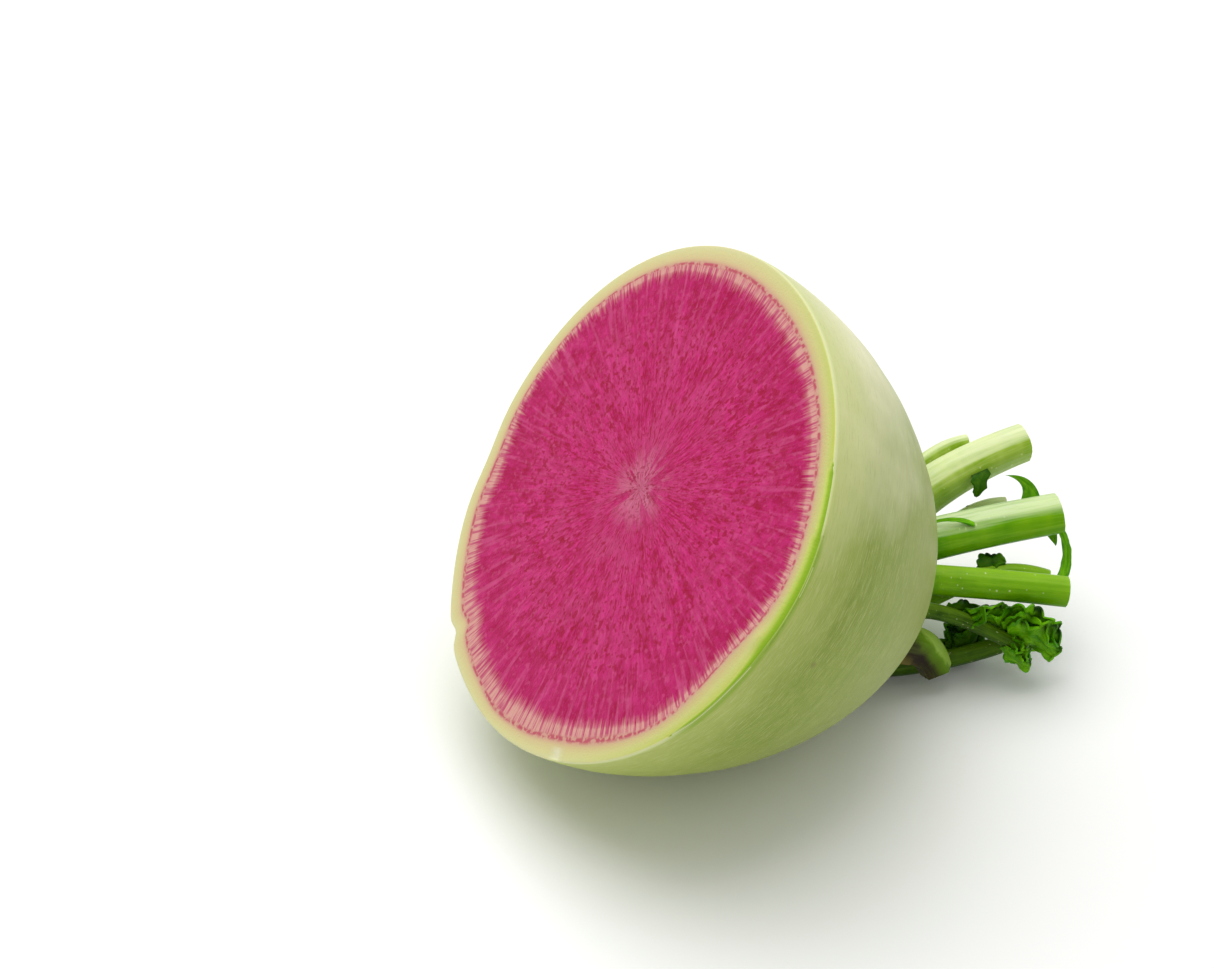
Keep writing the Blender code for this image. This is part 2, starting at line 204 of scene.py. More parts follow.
class Tree:
    """Adds nodes to a node tree, one short call each."""

    def __init__(self, tree):
        self.tree = tree

    def node(self, kind, inputs, output=0, **settings):
        made = self.tree.nodes.new(kind)
        for name, value in settings.items():
            setattr(made, name, value)
        for name, value in inputs.items():
            if isinstance(value, bpy.types.NodeSocket):
                self.tree.links.new(value, made.inputs[name])
            else:
                made.inputs[name].default_value = value
        return made.outputs[output]

    def math(self, operation, a, b=0.0):
        return self.node("ShaderNodeMath", {0: a, 1: b}, operation=operation)

    def add(self, a, b):
        return self.math("ADD", a, b)

    def times(self, a, b):
        return self.math("MULTIPLY", a, b)

    def span(self, value, low, high, out_low=0.0, out_high=1.0):
        """Maps low..high to out_low..out_high, held at both ends."""
        inputs = {0: value, 1: low, 2: high, 3: out_low, 4: out_high}
        return self.node("ShaderNodeMapRange", inputs, clamp=True)

    def mix(self, factor, a, b):
        return self.node("ShaderNodeMix", {0: factor, 6: a, 7: b}, 2, data_type="RGBA")

    def ramp(self, factor, stops):
        """A colour ramp from (position, colour) pairs."""
        colour = self.node("ShaderNodeValToRGB", {0: factor})
        elements = colour.node.color_ramp.elements
        elements[0].position, elements[0].color = stops[0]
        elements[1].position, elements[1].color = stops[-1]
        for position, value in stops[1:-1]:
            elements.new(position).color = value
        return colour

    def noise(self, vector, scale, detail=2.0, roughness=0.5):
        inputs = {"Vector": vector, "Scale": scale, "Detail": detail, "Roughness": roughness}
        return self.node("ShaderNodeTexNoise", inputs)

    def attribute(self, name, output="Fac"):
        return self.node("ShaderNodeAttribute", {}, output, attribute_name=name)

    def split(self, vector):
        """The three parts of a vector."""
        return self.node("ShaderNodeSeparateXYZ", {0: vector}).node.outputs

    def stretch(self, vector, by):
        return self.node("ShaderNodeVectorMath", {0: vector, 1: by}, operation="MULTIPLY")

    def length(self, vector):
        return self.node("ShaderNodeVectorMath", {0: vector}, "Value", operation="LENGTH")

    def distance(self, vector, other):
        return self.node("ShaderNodeVectorMath", {0: vector, 1: other}, "Value", operation="DISTANCE")

    def wound(self, way, around, lengthwise):
        """A place on a roll: a direction times around, with a number as its height."""
        ring = self.node("ShaderNodeVectorMath", {0: way, "Scale": around}, operation="SCALE")
        height = self.node("ShaderNodeCombineXYZ", {"Z": lengthwise})
        return self.node("ShaderNodeVectorMath", {0: ring, 1: height}, operation="ADD")


def new_group(name, inputs, outputs):
    """An empty node group with named sockets, and its tree helper, inputs and output node."""
    group = bpy.data.node_groups.new(name, "ShaderNodeTree")
    for socket, kind, default in inputs:
        made = group.interface.new_socket(socket, in_out="INPUT", socket_type="NodeSocket" + kind)
        if default is not None:
            made.default_value = default
    for socket, kind in outputs:
        group.interface.new_socket(socket, in_out="OUTPUT", socket_type="NodeSocket" + kind)
    taken = group.nodes.new("NodeGroupInput")
    given = group.nodes.new("NodeGroupOutput")
    return group, Tree(group), taken.outputs, given.inputs


def new_material(name):
    """A material with its tree helper and its shader's inputs."""
    material = bpy.data.materials.new(name)
    material.use_nodes = True
    return material, Tree(material.node_tree), material.node_tree.nodes["Principled BSDF"].inputs


def connect(tree, source, target):
    tree.tree.links.new(source, target)


def bumped(tree, shader, height, strength, distance_mm):
    """Turns a height into the shader's bump."""
    inputs = {"Height": height, "Strength": strength, "Distance": distance_mm * MM}
    connect(tree, tree.node("ShaderNodeBump", inputs), shader["Normal"])


def gloss(shader, specular):
    """How strongly a finish mirrors the light: plants far less than plastic."""
    shader["Specular IOR Level"].default_value = specular


def juicy(shader, weight, radius_mm, scale):
    """Lets a little light into the surface, as wet living tissue does."""
    shader["Subsurface Weight"].default_value = weight
    shader["Subsurface Radius"].default_value = [value * MM for value in radius_mm]
    shader["Subsurface Scale"].default_value = scale


print("grey 128 on the screen is %.3f as light" % screen(128, 128, 128)[0])

# %% [markdown]
# ## Two patterns that several finishes share
#
# Plant flesh is bundled fibres, and on the cut face they run out from the middle. Noise that is
# squeezed hard round the middle and stretched outward draws them. The other pattern is pale specks:
# a round dot in some of the cells of a Voronoi pattern. Each is a node group, so that a finish can
# place it several times, with its own numbers each time.

# %% Fibres that run out from a middle, and specks
FLATTENED = (1, 1, 0)
rays, tree, taken, given = new_group(
    "fibres_from_middle",
    [
        ("Place", "Vector", None),
        ("Around", "Float", 40.0),
        ("Outward", "Float", 0.1),
        ("Detail", "Float", 2.0),
    ],
    [("Value", "Float")],
)
flat = tree.stretch(taken["Place"], FLATTENED)
way = tree.node("ShaderNodeVectorMath", {0: flat}, operation="NORMALIZE")
fibre = tree.wound(way, taken["Around"], tree.times(tree.length(flat), taken["Outward"]))
connect(tree, tree.noise(fibre, 1.0, taken["Detail"], 0.55), given["Value"])

specks, tree, taken, given = new_group(
    "specks",
    [("Place", "Vector", None), ("Scale", "Float", 1.0), ("Size", "Float", 0.2), ("Share", "Float", 0.3)],
    [("Mask", "Float")],
)
cells = tree.node("ShaderNodeTexVoronoi", {"Vector": taken["Place"], "Scale": taken["Scale"]})
far = cells.node.outputs["Distance"]
lot = tree.node("ShaderNodeSeparateColor", {0: cells.node.outputs["Color"]})
chosen = tree.math("LESS_THAN", lot, taken["Share"])
spot = tree.span(far, tree.times(taken["Size"], 0.5), taken["Size"], 1.0, 0.0)
connect(tree, tree.times(spot, chosen), given["Mask"])


def fibres(tree, place_mm, around, outward, detail=2.0):
    """Noise in fibres: around counts them round the middle, outward how often they break."""
    inputs = {"Place": place_mm, "Around": around, "Outward": outward, "Detail": detail}
    return tree.node("ShaderNodeGroup", inputs, node_tree=rays)


def speckles(tree, place_mm, scale, size, share):
    """Round specks in a share of the cells of a Voronoi pattern."""
    inputs = {"Place": place_mm, "Scale": scale, "Size": size, "Share": share}
    return tree.node("ShaderNodeGroup", inputs, node_tree=specks)


def standing(tree, middle=(0, 0, 0)):
    """Object coordinates of a lying piece as standing ones in millimetres from a middle."""
    coordinates = tree.node("ShaderNodeTexCoord", {}, "Object")
    inputs = {"Vector": coordinates, "Location": face_middle, "Rotation": turned_over.to_euler()}
    inputs["Scale"] = (MM, MM, MM)
    upright = tree.node("ShaderNodeMapping", inputs, vector_type="TEXTURE")
    return tree.node("ShaderNodeVectorMath", {0: upright, 1: middle}, operation="SUBTRACT")


print("shared groups:", rays.name, "and", specks.name)

# %% [markdown]
# ## The root: drawing its outline
#
# A root is a turned form, so it is spun: half of its outline is drawn once and swept round the axis.
# The outline is one vertex that is extruded from point to point: out over the crown, down the skin,
# round the knife's edge and in across the cut face. The rings lie close where the form bends.

# %% The outline's points
FACE_RADIUS = 45.0
CROWN_HEIGHT = 57.2
CROWN_RADIUS = 13.4
CROWN_EDGE = 0.4
WIDEST_HEIGHT = 2.6
SKIN_LENGTH = 61.0
SKIN_SHOULDER = 1.75
SKIN_NOSE = 1.5
CROWN_DOME = 0.7


def skin_radius(along):
    """Radius of the root, in mm, at a distance from the cut face."""
    reach = abs(along - WIDEST_HEIGHT) / SKIN_LENGTH
    return FACE_RADIUS * (1 - reach**SKIN_SHOULDER) ** (1 / SKIN_NOSE)


CROWN_RINGS = 20
SKIN_RINGS = 110
EDGE_ROUNDING = 0.22
RIND_RINGS = 26
RIND_STEP = 0.28
FLESH_RINGS = 26
outline = []
for ring in range(CROWN_RINGS + 1):
    share = ring / CROWN_RINGS
    outline.append((CROWN_RADIUS * share, CROWN_HEIGHT + CROWN_DOME * (1 - share**5)))
for ring in range(SKIN_RINGS):
    share = ring / (SKIN_RINGS - 1)
    along = EDGE_ROUNDING + (CROWN_HEIGHT - CROWN_EDGE - EDGE_ROUNDING) * (1 - share**1.3)
    outline.append((skin_radius(along), along))
for degrees in (30, 60, 90):
    turn = math.radians(degrees)
    inward = EDGE_ROUNDING * (1 - math.cos(turn))
    outline.append((skin_radius(0) - inward, EDGE_ROUNDING * (1 - math.sin(turn))))
inner_start = outline[-1][0]
for ring in range(1, RIND_RINGS):
    outline.append((inner_start - RIND_STEP * ring, 0.0))
inner_start = outline[-1][0]
for ring in range(1, FLESH_RINGS + 1):
    outline.append((inner_start * (1 - ring / FLESH_RINGS), 0.0))
print("the outline has", len(outline), "points")

# %% Extrude one vertex along the outline and spin it
ROOT_STEPS = 288


def draw_and_spin(name, points_mm, steps):
    """A turned form from its half outline: (radius, height) points in mm."""
    bpy.ops.object.select_all(action="DESELECT")
    bpy.ops.mesh.primitive_plane_add(size=MM)
    turned = bpy.context.object
    turned.name = turned.data.name = name
    bpy.ops.object.mode_set(mode="EDIT")
    bpy.ops.mesh.select_all(action="SELECT")
    bpy.ops.mesh.merge(type="CENTER")
    spots = [Vector((radius, 0, height)) * MM for radius, height in points_mm]
    bpy.ops.transform.translate(value=spots[0])
    for before, after in zip(spots, spots[1:]):
        bpy.ops.mesh.extrude_region_move(TRANSFORM_OT_translate={"value": after - before})
    bpy.ops.mesh.select_all(action="SELECT")
    bpy.ops.mesh.spin(steps=steps, angle=2 * math.pi, center=(0, 0, 0), axis=(0, 0, 1))
    bpy.ops.mesh.select_all(action="SELECT")
    bpy.ops.mesh.remove_doubles(threshold=0.001 * MM)
    bpy.ops.mesh.normals_make_consistent(inside=False)
    bpy.ops.object.mode_set(mode="OBJECT")
    return turned


root = draw_and_spin("radish_root", outline, ROOT_STEPS)
print("spun:", len(root.data.vertices), "vertices")

# %% [markdown]
# ## The root: making it grown, not turned
#
# A real root is never quite round. Its rim swells and sinks by half a millimetre, the knife left a
# nick and a bevelled strip, the skin has shallow dents, and it is pressed flat where it lies. All of
# these are rules that move the spun vertices, so they can be read and changed one by one.

# %% Rules for the uneven rim
# Waves as (how many go round, height in mm, crest), bumps as (height in mm, middle, half-width).
# All angles are in degrees round the axis, from up toward near.
WAVES = ((1, 0.4, 136), (3, 0.6, -44), (4, 0.2, -64))
BUMPS = ((0.7, 71, 14), (0.6, 202, 10), (-0.9, 246, 9))
CHIP = (-1.3, 203, 2.4)
CHIP_LENGTH = 3.0  # how far down the skin the chip runs out
STRIP_WIDTH = 1.3
STRIP_STEP = 0.6
STRIP_THINS_BY = 0.62


def outline_shift(angle, along):
    """How far, in mm, the skin lies outside its turned form at an angle in degrees."""
    shift = sum(high * math.cos(math.radians(n * (angle - crest))) for n, high, crest in WAVES)
    shift += sum(high * bell_round(angle, at, wide) for high, at, wide in BUMPS)
    depth, middle, wide = CHIP
    nick = depth * bell_round(angle, middle, wide) * max(0.0, 1 - along / CHIP_LENGTH)
    return shift * max(0.0, 1 - along / CROWN_HEIGHT) + nick


def strip_width(angle):
    """Width in mm of the strip that the knife bevelled along the near side of the rim."""
    wide = STRIP_WIDTH + STRIP_STEP * rise(angle, 62.5, 63.5)
    thinned = 1 - STRIP_THINS_BY * rise(angle, 80, 100)
    return wide * rise(angle, 48, 49.5) * thinned * (1 - rise(angle, 108, 117))


def torn_flap(angle, depth_in):
    """How far a small torn flap of rind stands up beside the strip."""
    return 0.45 * bell_round(angle, 86.3, 1.9) * bell(depth_in, 2.0, 1.1)


print("the strip is %.1f mm wide where it is widest" % max(strip_width(angle) for angle in range(360)))

# %% Move every vertex by the rules and note how deep under the skin it lies
INSIDE = 0.08  # the fine root stays this many mm inside the plain one
BEVEL_SLOPE = 0.45
NICK_ANGLE = 149
NICK_DEPTH = 0.5
DENT_SCALE = 0.09
DENT_DEPTH = 0.12
FACE_LIMIT = 1e-4
from_rim = []
strip = []
nick = []
for vertex in root.data.vertices:
    x, y, along = vertex.co / MM
    radius = math.hypot(x, y)
    angle = math.degrees(math.atan2(-y, -x)) % 360
    turned_radius = skin_radius(max(0.0, min(along, CROWN_HEIGHT - CROWN_EDGE)))
    share = min(1.0, radius / turned_radius)
    grown = radius + share * outline_shift(angle, along) - INSIDE * share
    on_face = along < FACE_LIMIT
    depth_in = 0.0
    if on_face:
        depth_in = (1 - radius / skin_radius(0)) * (skin_radius(0) + outline_shift(angle, 0))
    wide = strip_width(angle)
    bevelled = max(0.0, wide - depth_in) if on_face or along < EDGE_ROUNDING * 1.01 else 0.0
    along += BEVEL_SLOPE * bevelled
    if on_face:
        along -= torn_flap(angle, depth_in)
        along += NICK_DEPTH * bell_round(angle, NICK_ANGLE, 1.2) * bell(depth_in, 0.6, 1.2)
    if not on_face and along < CROWN_HEIGHT - 1:
        wobble = noise.noise(Vector((x, y, along * 2)) * DENT_SCALE)
        grown -= DENT_DEPTH * (1 + wobble) * rise(along, 0.2, 4)
    vertex.co = round_axis(math.radians(angle), grown * MM, along * MM)
    from_rim.append(depth_in if on_face else -along)
    strip.append(bevelled / wide if wide > 0.15 else 0.0)
    nick.append(bell_round(angle, NICK_ANGLE, 1.3) * (1 - rise(depth_in, 1.6, 2.6)) if on_face else 0.0)


def note(obj, name, values):
    """Keeps a number for every vertex, for the materials to read."""
    made = obj.data.attributes.new(name, "FLOAT", "POINT")
    made.data.foreach_set("value", values)


note(root, "from_rim", from_rim)
note(root, "strip", strip)
note(root, "nick", nick)
print("the flesh's middle lies %.1f mm in from the rim" % max(from_rim))

# %% How deep each layer of the cut face reaches, all round the rim
LAYERS = (
    # angle, then the depths in mm at which rind, dots and comb end
    (0, 3.3, 4.4, 5.9),
    (45, 3.0, 4.0, 5.2),
    (75, 3.1, 3.9, 4.8),
    (95, 4.6, 5.2, 6.0),
    (120, 2.8, 3.7, 4.9),
    (135, 2.9, 4.6, 5.9),
    (150, 3.1, 4.5, 6.1),
    (165, 2.5, 3.6, 6.5),
    (175, 2.2, 3.3, 5.9),
    (187, 2.8, 3.5, 6.4),
    (200, 3.2, 4.2, 7.0),
    (218, 2.8, 3.8, 6.0),
    (238, 2.6, 3.6, 5.4),
    (270, 2.6, 2.9, 3.7),
    (315, 2.8, 3.4, 4.5),
    (340, 3.1, 4.1, 5.4),
    (360, 3.3, 4.4, 5.9),
)
RING_DEPTH = 5.0


def layer_at(angle, depth):
    """0 at the rim, 1 where the rind ends, 2 where the dots end, 3 where the comb ends, and on."""
    for before, after in zip(LAYERS, LAYERS[1:]):
        if angle <= after[0]:
            break
    share = rise(angle, before[0], after[0])
    ends = [0.0] + [low + (high - low) * share for low, high in zip(before[1:], after[1:])]
    for number in range(3):
        if depth < ends[number + 1]:
            return number + (depth - ends[number]) / (ends[number + 1] - ends[number])
    return 3 + (depth - ends[3]) / RING_DEPTH


layers = []
for vertex, depth in zip(root.data.vertices, from_rim):
    angle = math.degrees(math.atan2(-vertex.co.y, -vertex.co.x)) % 360
    layers.append(layer_at(angle, depth) if depth > 0 else 0.0)
note(root, "layer", layers)
print("layers run from 0 at the rim to %.1f in the middle" % max(layers))

# %% Lay the root down and press it flat where it touches the table


def lay_down(obj):
    """Tips a standing piece over and leaves its object at the origin, unturned."""
    bpy.ops.object.select_all(action="DESELECT")
    obj.select_set(True)
    bpy.context.view_layer.objects.active = obj
    obj.matrix_world = lying
    bpy.ops.object.transform_apply(location=True, rotation=True, scale=True)
    for vertex in obj.data.vertices:
        vertex.co.z = max(vertex.co.z, 0.0)


lay_down(root)
print("lowest point of the root:", min(vertex.co.z for vertex in root.data.vertices))

# %% [markdown]
# ## The cut face: its finish
#
# Four things make a watermelon radish: a cream rind that turns lime under the skin, a comb of pale
# ticks where the fibres cross from rind to flesh, a darker ring just inside it, and flesh of a
# strong magenta whose fibres all run out from a pale star in the middle. The depth under the skin,
# noted on the mesh as `layer`, lays the rings, and fibre noise shifts it to and fro so that they get
# teeth.

# %% Flesh, comb and rind
STAR_MIDDLE = (-2.3, 0, 0)
cut_finish, tree, shader = new_material("cut_flesh")
spot = standing(tree, STAR_MIDDLE)
from_star = tree.length(tree.stretch(spot, FLATTENED))
layer = tree.attribute("layer")
hair = fibres(tree, spot, 140, 0.16, 1.5)
fine = fibres(tree, spot, 52, 0.45)
coarse = fibres(tree, spot, 20, 0.28)

# The rind: lime under the skin on the near side, which grew in the light, and cream elsewhere
down, back, _ = tree.split(spot)
sunny = tree.times(tree.span(back, 14, -30), tree.span(down, 20, 42, 1.0, 0.1))
limy = tree.ramp(
    layer,
    [
        (0.0, screen(216, 218, 150)),
        (0.08, screen(188, 200, 88)),
        (0.5, screen(201, 201, 124)),
        (0.8, screen(204, 186, 128)),
        (1.0, screen(202, 176, 136)),
    ],
)
creamy = tree.ramp(
    layer,
    [
        (0.0, screen(214, 212, 160)),
        (0.35, screen(214, 207, 148)),
        (0.75, screen(212, 194, 142)),
        (1.0, screen(208, 172, 138)),
    ],
)
rind = tree.mix(sunny, creamy, limy)

# The dots: a broken crimson line between rind and comb
broken = fibres(tree, spot, 44, 1.1, 1.0)
dots_on = tree.times(tree.span(layer, 0.95, 1.3), tree.span(layer, 2.1, 1.6))
dots = tree.times(dots_on, tree.span(broken, 0.42, 0.55))
after_rind = tree.mix(tree.span(layer, 0.85, 1.35), rind, screen(206, 156, 138))
dotted = tree.mix(tree.times(dots, 0.8), after_rind, screen(184, 48, 88))

# The comb: whitish ticks with pink between them
ticks = fibres(tree, spot, 88, 0.12, 3.0)
comb = tree.mix(tree.span(ticks, 0.4, 0.56), screen(190, 78, 112), screen(214, 158, 146))
combed = tree.mix(tree.span(layer, 1.6, 2.0), dotted, comb)

# The flesh: mottled magenta, drawn out toward the rim, with pink clouds toward the middle
mottle = tree.noise(spot, 0.75, 3, 0.62)
wide = fibres(tree, spot, 9, 0.11)
grainy = tree.add(tree.times(coarse, 0.3), tree.times(mottle, 0.2))
grainy = tree.add(tree.times(fine, 0.35), grainy)
grainy = tree.add(grainy, tree.times(wide, 0.25))
flesh = tree.mix(tree.span(grainy, 0.45, 0.66), screen(166, 0, 70), screen(204, 44, 122))
cloud = tree.noise(spot, 0.13, 4, 0.6)
toward_middle = tree.span(from_star, 36, 8, 0.15, 0.55)
clouded = tree.mix(tree.times(tree.span(cloud, 0.42, 0.64), toward_middle), flesh, screen(194, 70, 122))
wander = tree.add(tree.times(tree.add(hair, -0.5), 2.2), tree.times(tree.add(coarse, -0.5), 1.8))
ring = tree.span(tree.add(layer, wander), 3.2, 5.2, 0.45, 0.0)
ringed = tree.mix(ring, clouded, screen(168, 0, 76))
light_rays = tree.span(fibres(tree, spot, 40, 0.09, 1.0), 0.55, 0.68)
light_rays = tree.times(light_rays, tree.span(from_star, 22, 38, 0.0, 0.55))
rayed = tree.mix(light_rays, ringed, screen(204, 84, 134))
pink_flecks = tree.span(fibres(tree, spot, 34, 0.8, 1.0), 0.56, 0.70, 0.0, 0.35)
flecked = tree.mix(pink_flecks, rayed, screen(206, 84, 134))

# Crimson dashes, most of them within two thirds of the way out
dash = tree.span(fibres(tree, spot, 22, 0.6, 1.0), 0.59, 0.66)
dash_small = tree.span(fibres(tree, spot, 36, 1.1, 1.0), 0.59, 0.66)
inner_zone = tree.times(tree.span(from_star, 42, 28), tree.span(from_star, 3, 8))
dashes = tree.times(tree.math("MAXIMUM", dash, dash_small), tree.times(inner_zone, 0.75))
dashed = tree.mix(dashes, flecked, screen(156, 0, 44))

# Where comb and flesh meet, the fibres and the ticks together cut the edge into teeth
both = tree.add(tree.times(hair, 0.5), tree.times(ticks, 0.5))
edge_of_flesh = tree.add(layer, tree.times(tree.add(both, -0.5), -1.4))
flesh = tree.mix(tree.span(edge_of_flesh, 2.6, 3.2), combed, dashed)

# The star: pale arms with rows of reddish brown specks
arm_noise = fibres(tree, spot, 3.4, 0.16, 3.0)
arms = tree.times(tree.span(arm_noise, 0.45, 0.51), tree.span(from_star, 8.0, 3.5))
arms = tree.times(arms, tree.span(fine, 0.36, 0.56, 0.35, 1.0))
core = tree.span(from_star, 3.4, 0.8, 0.0, 0.6)
pale_parts = tree.times(tree.math("MAXIMUM", arms, core), 0.7)
starry = tree.mix(pale_parts, flesh, screen(204, 122, 146))
rows = tree.span(fibres(tree, spot, 6.5, 1.5, 2.0), 0.53, 0.62)
near_star = tree.times(tree.span(from_star, 8.5, 2.0), 0.9)
starry = tree.mix(tree.times(rows, near_star), starry, screen(150, 24, 58))

# The strip bevelled by the knife: lime beside the rind, a green line on its outer side, and a painted
# highlight along its outermost edge
strip = tree.attribute("strip")
bevel = tree.ramp(
    strip,
    [
        (0.0, screen(206, 212, 120)),
        (0.3, screen(186, 204, 88)),
        (0.5, screen(150, 186, 44)),
        (0.78, screen(132, 172, 30)),
        # Painted highlight: pale green at the strip's outer edge.
        (0.9, screen(196, 208, 124)),
        (1.0, screen(206, 214, 150)),
    ],
)
striped = tree.mix(tree.span(strip, 0.001, 0.12), starry, bevel)
striped = tree.mix(tree.times(tree.attribute("nick"), 0.8), striped, screen(232, 230, 200))
connect(tree, striped, shader["Base Color"])
grit = tree.noise(spot, 3.0, 3)
connect(tree, tree.span(grit, 0.3, 0.7, 0.36, 0.56), shader["Roughness"])
bumped(tree, shader, tree.add(tree.times(grainy, 2.0), grit), 0.45, 0.2)
gloss(shader, 0.16)
juicy(shader, 0.1, (3, 1, 1), 0.4)
print("cut face:", len(cut_finish.node_tree.nodes), "nodes")

# %% [markdown]
# ## The skin: its finish
#
# The skin is smooth and waxy. It is olive green, nearly cream on top, with a paler band along the
# rim, and it is lined all over with short fine streaks that run round the root, side by side. So its
# pattern lives on two numbers: the angle round the axis, and the distance down the skin from the
# rim.

# %% Skin
DEGREES_PER_RADIAN = 57.3
skin_finish, tree, shader = new_material("skin")
spot = standing(tree)
down, back, along = tree.split(spot)
upward = tree.times(down, -1)
flat = tree.stretch(spot, FLATTENED)
down_skin = tree.add(along, tree.times(tree.length(flat), -0.6))
way = tree.node("ShaderNodeVectorMath", {0: flat}, operation="NORMALIZE")


def round_the_root(tree, way, down_skin, around, down, detail, roughness):
    """Noise drawn out round the axis: few features around, many down the skin."""
    return tree.noise(tree.wound(way, around, tree.times(down_skin, down)), 1.0, detail, roughness)


lines = round_the_root(tree, way, down_skin, 15.0, 5.4, 4.0, 0.7)
soft_lines = round_the_root(tree, way, down_skin, 2.2, 0.5, 2.0, 0.6)
patches = tree.noise(spot, 0.07, 3, 0.55)
topside = tree.add(upward, tree.times(tree.add(patches, -0.5), 22))
topside = tree.add(topside, tree.times(along, -0.55))
olive = tree.mix(tree.span(soft_lines, 0.35, 0.65), screen(133, 152, 54), screen(142, 160, 64))
crownward = tree.mix(tree.span(along, 18, 50), olive, screen(154, 168, 88))
base = tree.mix(tree.span(topside, 13, 36), crownward, screen(234, 232, 190))
underside = tree.span(upward, -16, -36)
base = tree.mix(underside, base, screen(158, 172, 72))
rim_band = tree.add(along, tree.times(tree.add(patches, -0.5), 8))
base = tree.mix(tree.span(rim_band, 12, 0.5, 0.0, 0.65), base, screen(194, 204, 116))
skin = tree.mix(tree.span(lines, 0.52, 0.62, 0.0, 0.45), base, screen(200, 206, 138))
skin = tree.mix(tree.span(lines, 0.44, 0.34, 0.0, 0.25), skin, screen(118, 140, 40))

# Brown streaks where it was bruised, a painted highlight along the rim, a green line along the strip, and a
# brown speck
brown_noise = round_the_root(tree, way, down_skin, 3.0, 1.6, 3.0, 0.7)
from_bruise = tree.distance(spot, (-26, -22, 34))
brown = tree.times(tree.span(brown_noise, 0.52, 0.66), tree.span(from_bruise, 20, 8, 0.0, 0.55))
skin = tree.mix(brown, skin, screen(176, 158, 112))
# Painted highlight: a pale line on the skin in the last millimetre before the rim.
skin = tree.mix(tree.span(along, 0.9, 0.3, 0.0, 0.7), skin, screen(226, 230, 178))
round_it = tree.times(tree.math("ARCTAN2", tree.times(back, -1), upward), DEGREES_PER_RADIAN)
beside_strip = tree.times(tree.span(round_it, 60, 66), tree.span(round_it, 117, 108))
beside_strip = tree.times(beside_strip, tree.span(along, 1.7, 1.0, 0.0, 0.75))
skin = tree.mix(beside_strip, skin, screen(136, 170, 40))
from_speck = tree.distance(spot, (-2.7, -43.7, 12.0))
skin = tree.mix(tree.span(from_speck, 0.9, 0.5, 0.0, 0.7), skin, screen(130, 120, 70))
connect(tree, skin, shader["Base Color"])
connect(tree, tree.span(lines, 0.3, 0.7, 0.36, 0.48), shader["Roughness"])
bumped(tree, shader, tree.add(lines, tree.times(soft_lines, 0.8)), 0.22, 0.15)
gloss(shader, 0.2)
juicy(shader, 0.1, (2, 2, 1), 0.5)
print("skin:", len(skin_finish.node_tree.nodes), "nodes")

# %% Give the root its two finishes and put it in its place
ROOT_CREASE = 40
FLESH_REACH = 3 * MM


def smooth(obj, degrees):
    """Shades a piece smooth wherever its faces meet at less than an angle."""
    bpy.ops.object.select_all(action="DESELECT")
    obj.select_set(True)
    bpy.context.view_layer.objects.active = obj
    bpy.ops.object.shade_smooth_by_angle(angle=math.radians(degrees))


root.data.materials.append(skin_finish)
root.data.materials.append(cut_finish)
for polygon in root.data.polygons:
    outward = polygon.normal.dot(face_normal)
    height = (polygon.center - face_middle).dot(-face_normal)
    polygon.material_index = 1 if outward > 0.7 and height < FLESH_REACH else 0
smooth(root, ROOT_CREASE)
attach(root, "root")
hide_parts("radish_half")

# %% [markdown]
# ## The leaf stalks
#
# Each stalk is a fleshy rod: broad where it clasps the crown, round on its outer side, sunk on its
# inner side, and cut across with a knife. It is modelled straight, a circle extruded ring by ring
# with its cut end inset, and then laid along a curve, because a straight rod is far easier to shape.
# Every vertex keeps its straight place as `grain`, so that the fibres still run lengthwise after it
# is bent. One stalk, bruised and squashed against the table, has flat sides instead of a round one.
#
# The table gives each stalk's foot on the crown (its angle and its distance from the axis), how it
# leaves the crown (sideways and up), the bend and the tip of its centre line, and its width and
# depth at the foot, in the middle and at the tip.

# %% Where each stalk grows
Stalk = namedtuple("Stalk", "name foot rise bend tip foot_size middle_size tip_size")
STALKS = (
    Stalk("stalk_top", (-64, 10.8), (4.2, 7.0), (19.0, -13.4, 61.5), (36.4, -11.3, 76.3),
          (7.4, 3.0), (10.8, 10.4), (8.5, 8.1)),
    Stalk("stalk_top_rear", (-110, 10.8), (5, 6.3), (20.4, -23.9, 64.9), (28.3, -22.0, 75.6),
          (5.4, 3.4), (5.2, 4.2), (5.2, 4.6)),
    Stalk("stalk_upper", (-19, 10.8), (0, 3), (14.4, -3.0, 62.1), (30.8, 2.3, 79.9),
          (8.0, 5.0), (9.2, 8.8), (8.8, 8.4)),
    Stalk("stalk_upper_rear", (-60, 3.8), (0, 11), (18.2, -13.0, 69.9), (25.0, -8.8, 79.4),
          (4.0, 3.4), (4.0, 3.6), (4.0, 3.6)),
    Stalk("stalk_middle", (27, 10.8), (0, 2), (12.2, 5.9, 62.9), (22.1, 13.8, 81.2),
          (6.0, 4.4), (5.7, 5.6), (5.8, 5.6)),
    Stalk("stalk_middle_rear", (64, 3.8), (0, 10), (17.4, 1.8, 68.0), (21.2, 8.4, 81.2),
          (3.8, 3.2), (3.4, 3.2), (3.4, 3.2)),
    Stalk("stalk_low", (58, 10.8), (1, 2), (9.2, 9.6, 62.4), (9.8, 15.9, 79.0),
          (3.6, 3.2), (2.9, 2.8), (2.6, 2.5)),
    Stalk("stalk_bruised", (97, 10.8), (0, 3), (2.4, 10.6, 63.4), (-2.0, 11.6, 70.0),
          (8.2, 4.0), (9.0, 4.8), (6.4, 4.2)),
    Stalk("stalk_under", (160, 10.8), (0, 5), (-4.0, 6.8, 72.0), (7.2, 10.6, 79.4),
          (4.8, 3.4), (5.2, 4.6), (4.4, 3.9)),
    Stalk("stalk_far", (218, 10.8), (0, 5), (-3.0, -11.0, 68.0), (1.0, -13.0, 78.0),
          (5.2, 4.0), (4.8, 4.0), (4.6, 4.0)),
)
GAP = 0.4
GROOVE = 0.35
STALK_SIDES = 48
STALK_RINGS = 40
